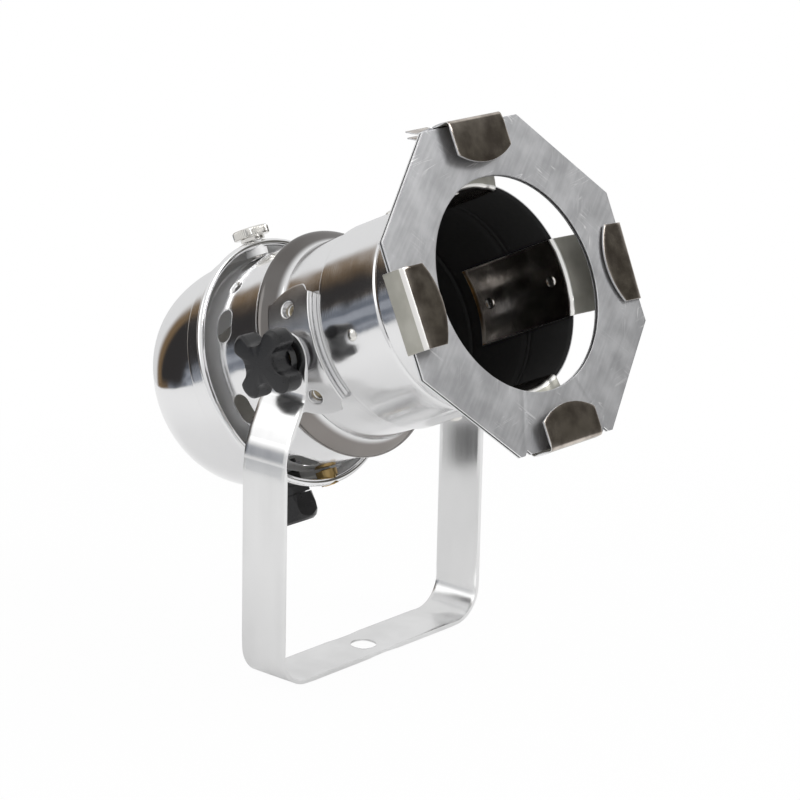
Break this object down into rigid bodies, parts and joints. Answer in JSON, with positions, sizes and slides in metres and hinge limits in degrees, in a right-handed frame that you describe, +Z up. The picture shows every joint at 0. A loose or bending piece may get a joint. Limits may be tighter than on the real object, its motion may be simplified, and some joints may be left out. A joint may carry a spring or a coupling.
{
  "type": "par can",
  "caption": "Small polished par can with a flat bar yoke, clamp knobs, an octagonal gel frame held by clips and a hinged catch, and a removable rear cap with lamp holder and cable gland.",
  "frame": {"origin": "centre of the yoke's hanging hole on the bar's underside", "axes": "+Z up along the yoke's arms, -Y the way the can faces, X along the tilt axis"},
  "size_m": [0.1052, 0.163, 0.1833],
  "materials": {
    "polished_aluminium": "spun and mirror polished",
    "satin_aluminium": "satin brushed",
    "frame_sheet": "brushed sheet with fine scratches",
    "clip_steel": "nickel plated, bright",
    "rivet_nickel": "nickel plated, bright",
    "zinc_steel": "zinc plated",
    "black_plastic": "black, satin",
    "brass": "plain, bright",
    "seal_rubber": "black",
    "porcelain": "white glaze"
  },
  "bodies": {
    "yoke": {"yoke": "satin_aluminium"},
    "can": {"can_body": "polished_aluminium", "bracket_left": "satin_aluminium", "bracket_right": "satin_aluminium", "bracket_rivets": "rivet_nickel", "pivot_bolt_left": "zinc_steel", "pivot_bolt_right": "zinc_steel", "pivot_spacers": "zinc_steel", "pivot_washers": "zinc_steel", "clip_left": "clip_steel", "clip_right": "clip_steel", "clip_bottom": "clip_steel", "clip_top": "clip_steel", "clip_rivets": "rivet_nickel", "catch_pin": "zinc_steel", "gel_frame": "frame_sheet"},
    "knob_l": {"knob_left": "black_plastic", "knob_insert_left": "brass"},
    "knob_r": {"knob_right": "black_plastic", "knob_insert_right": "brass"},
    "cap": {"rear_cap": "polished_aluminium", "screw_bush": "rivet_nickel", "lower_bush": "rivet_nickel", "gland_body": "black_plastic", "gland_seal": "seal_rubber", "gland_nut": "black_plastic", "gland_locknut": "zinc_steel", "holder_strap": "zinc_steel", "lamp_holder": "porcelain", "holder_shell": "brass", "holder_contact": "brass", "holder_screws": "zinc_steel", "terminal_screws": "brass", "strap_rivets": "rivet_nickel"},
    "top_screw": {"thumbscrew": "rivet_nickel"},
    "bottom_screw": {"lower_screw": "brass"},
    "catch": {"frame_catch": "clip_steel"}
  },
  "joints": [
    {"name": "tilt", "type": "hinge", "parent": "yoke", "child": "can", "pos_m": [0, 0, 0.1065], "axis": [-1, 0, 0], "range_deg": [-80, 205]},
    {"name": "clamp_left", "type": "hinge", "parent": "can", "child": "knob_l", "pos_m": [-0.045, 0, 0.1065], "axis": [-1, 0, 0], "range_deg": [0, 720]},
    {"name": "clamp_right", "type": "hinge", "parent": "can", "child": "knob_r", "pos_m": [0.045, 0, 0.1065], "axis": [1, 0, 0], "range_deg": [0, 720]},
    {"name": "cap_off", "type": "slide", "parent": "can", "child": "cap", "axis": [0, 0.9048, -0.4258], "range_m": [0, 0.06]},
    {"name": "cap_screw", "type": "hinge", "parent": "cap", "child": "top_screw", "pos_m": [0, 0.05051, 0.12694], "axis": [0, 0.4258, 0.9048], "range_deg": [0, 720]},
    {"name": "lower_cap_screw", "type": "hinge", "parent": "cap", "child": "bottom_screw", "pos_m": [0, 0.0173, 0.05636], "axis": [0, -0.4258, -0.9048], "range_deg": [0, 720]},
    {"name": "catch_hinge", "type": "hinge", "parent": "can", "child": "catch", "pos_m": [0, -0.03479, 0.17906], "axis": [-1, 0, 0], "range_deg": [0, 95]}
  ]
}
